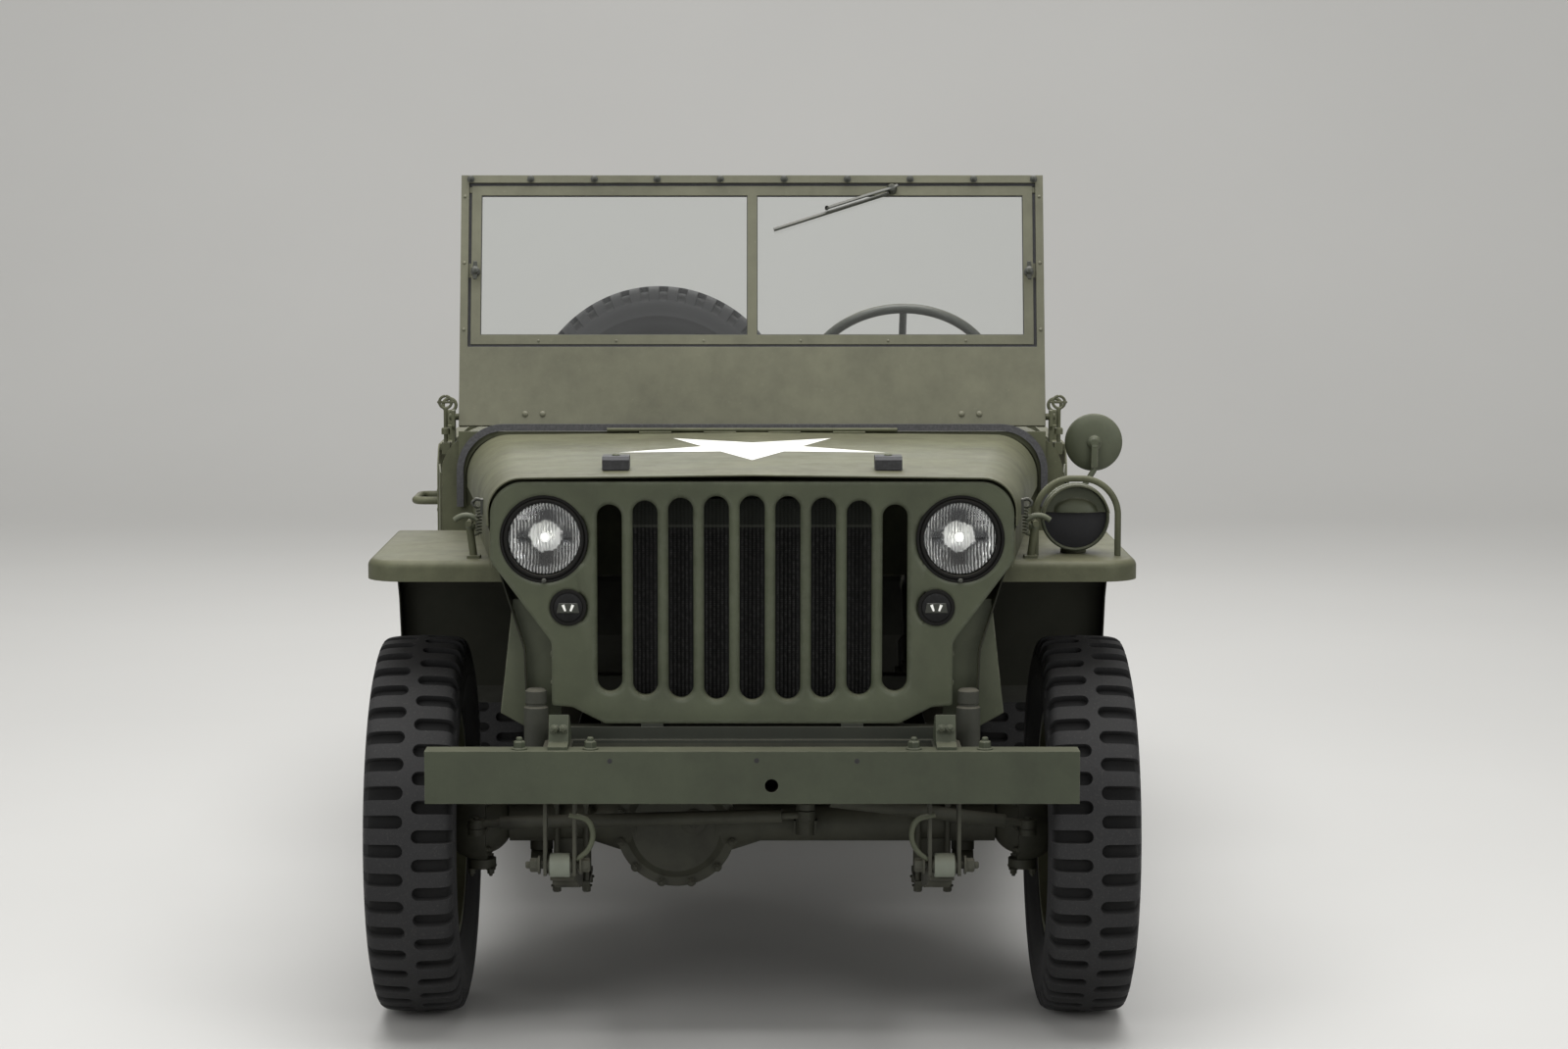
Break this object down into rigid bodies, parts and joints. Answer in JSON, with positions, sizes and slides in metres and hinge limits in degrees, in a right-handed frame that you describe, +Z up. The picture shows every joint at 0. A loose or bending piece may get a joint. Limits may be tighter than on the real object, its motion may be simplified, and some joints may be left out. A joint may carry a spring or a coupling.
{
  "type": "army 4x4 car",
  "caption": "Open army 4x4 light car with a slotted radiator guard, folding windshield, lifting hood, steered front wheels and a spare wheel at the rear.",
  "frame": {"origin": "on the ground under the middle of the overall box", "axes": "+Z up, the front faces -Y, the car's own left side is +X"},
  "size_m": [1.575, 3.36, 1.5816],
  "materials": {
    "olive_paint": "matt olive drab paint",
    "chassis_paint": "dusty olive drab paint on castings and steel",
    "dark_paint": "dark satin paint",
    "tyre_rubber": "dusty matt rubber",
    "black_rubber": "matt rubber",
    "clear_glass": "clear",
    "seat_canvas": "woven canvas"
  },
  "bodies": {
    "chassis": {"blackout_lamp": "olive_paint", "body_sides": "olive_paint", "cowl": "olive_paint", "cowl_seal": "black_rubber", "dampers": "chassis_paint", "engine_block": "chassis_paint", "exhaust": "chassis_paint", "floor_pan": "olive_paint", "frame": "chassis_paint", "front_axle": "chassis_paint", "front_bumper": "olive_paint", "front_fenders": "olive_paint", "front_lamps": "olive_paint", "gearbox": "chassis_paint", "headlamp_lenses": "clear_glass", "instrument_panel": "olive_paint", "leaf_springs": "chassis_paint", "mirror": "olive_paint", "pedals": "dark_paint", "propeller_shafts": "chassis_paint", "radiator": "chassis_paint", "radiator_guard": "olive_paint", "rear_axle": "chassis_paint", "rear_panel": "olive_paint", "seat_cushions": "seat_canvas", "seat_frames": "olive_paint", "spare_tyre": "tyre_rubber", "spare_wheel": "olive_paint", "spring_clamps": "chassis_paint", "steering_column": "olive_paint", "tail_lamps": "olive_paint", "towing_fittings": "chassis_paint", "wheel_houses": "olive_paint"},
    "wheel_front_left": {"tyre_front_left": "tyre_rubber", "wheel_front_left": "olive_paint"},
    "wheel_front_right": {"tyre_front_right": "tyre_rubber", "wheel_front_right": "olive_paint"},
    "wheel_rear_left": {"tyre_rear_left": "tyre_rubber", "wheel_rear_left": "olive_paint"},
    "wheel_rear_right": {"tyre_rear_right": "tyre_rubber", "wheel_rear_right": "olive_paint"},
    "knuckle_left": {"knuckle_left": "chassis_paint"},
    "knuckle_right": {"knuckle_right": "chassis_paint"},
    "bell_crank": {"bell_crank": "chassis_paint"},
    "tie_rod_left": {"tie_rod_left": "chassis_paint"},
    "tie_rod_right": {"tie_rod_right": "chassis_paint"},
    "drag_link": {"drag_link": "chassis_paint"},
    "drop_arm": {"drop_arm": "chassis_paint"},
    "steering_wheel": {"steering_wheel": "dark_paint"},
    "hood": {"hood": "olive_paint", "hood_rests": "black_rubber"},
    "windshield": {"windshield_frame": "olive_paint", "windshield_inner_frame": "olive_paint", "windshield_glass": "clear_glass", "wiper": "black_rubber"}
  },
  "joints": [
    {"name": "steer_left", "type": "hinge", "parent": "chassis", "child": "knuckle_left", "pos_m": [0.515, -1.19, 0.356], "axis": [0, 0, 1], "range_deg": [-26, 26]},
    {"name": "steer_right", "type": "hinge", "parent": "chassis", "child": "knuckle_right", "pos_m": [-0.515, -1.19, 0.356], "axis": [0, 0, 1], "range_deg": [-26, 26]},
    {"name": "roll_front_left", "type": "hinge", "parent": "knuckle_left", "child": "wheel_front_left", "pos_m": [0.6225, -1.19, 0.356], "axis": [1, 0, 0], "continuous": true},
    {"name": "roll_front_right", "type": "hinge", "parent": "knuckle_right", "child": "wheel_front_right", "pos_m": [-0.6225, -1.19, 0.356], "axis": [1, 0, 0], "continuous": true},
    {"name": "roll_rear_left", "type": "hinge", "parent": "chassis", "child": "wheel_rear_left", "pos_m": [0.6225, 0.842, 0.356], "axis": [1, 0, 0], "continuous": true},
    {"name": "roll_rear_right", "type": "hinge", "parent": "chassis", "child": "wheel_rear_right", "pos_m": [-0.6225, 0.842, 0.356], "axis": [1, 0, 0], "continuous": true},
    {"name": "bell_crank_pivot", "type": "hinge", "parent": "chassis", "child": "bell_crank", "pos_m": [0.1, -1.25, 0.421], "axis": [0, 0, 1], "range_deg": [-26, 26]},
    {"name": "tie_rod_left_pin", "type": "hinge", "parent": "knuckle_left", "child": "tie_rod_left", "pos_m": [0.515, -1.315, 0.377], "axis": [0, 0, 1], "range_deg": [-26, 26]},
    {"name": "tie_rod_right_pin", "type": "hinge", "parent": "knuckle_right", "child": "tie_rod_right", "pos_m": [-0.515, -1.315, 0.377], "axis": [0, 0, 1], "range_deg": [-26, 26]},
    {"name": "drag_link_pin", "type": "hinge", "parent": "bell_crank", "child": "drag_link", "pos_m": [0.225, -1.25, 0.437], "axis": [0, 0, 1], "range_deg": [-26, 26]},
    {"name": "drop_arm_shaft", "type": "hinge", "parent": "chassis", "child": "drop_arm", "pos_m": [0.2896, -0.866, 0.587], "axis": [1, 0, 0], "range_deg": [-21.4, 21.4]},
    {"name": "steering_wheel_turn", "type": "hinge", "parent": "chassis", "child": "steering_wheel", "pos_m": [0.328, -0.064, 1.124], "axis": [0, 0.8181, 0.575], "range_deg": [-338, 338]},
    {"name": "hood_hinge", "type": "hinge", "parent": "chassis", "child": "hood", "pos_m": [0, -0.633, 1.0635], "axis": [1, 0, 0], "range_deg": [-95, 0]},
    {"name": "windshield_fold", "type": "hinge", "parent": "chassis", "child": "windshield", "pos_m": [0, -0.6, 1.088], "axis": [1, 0, 0], "range_deg": [0, 98]}
  ],
  "couplings": [
    {"joint": "steer_right", "follows": "steer_left", "ratio": 1},
    {"joint": "bell_crank_pivot", "follows": "steer_left", "ratio": 1},
    {"joint": "tie_rod_left_pin", "follows": "steer_left", "ratio": -1},
    {"joint": "tie_rod_right_pin", "follows": "steer_left", "ratio": -1},
    {"joint": "drag_link_pin", "follows": "steer_left", "ratio": -1},
    {"joint": "drop_arm_shaft", "follows": "steer_left", "ratio": 0.823},
    {"joint": "steering_wheel_turn", "follows": "steer_left", "ratio": 13}
  ]
}
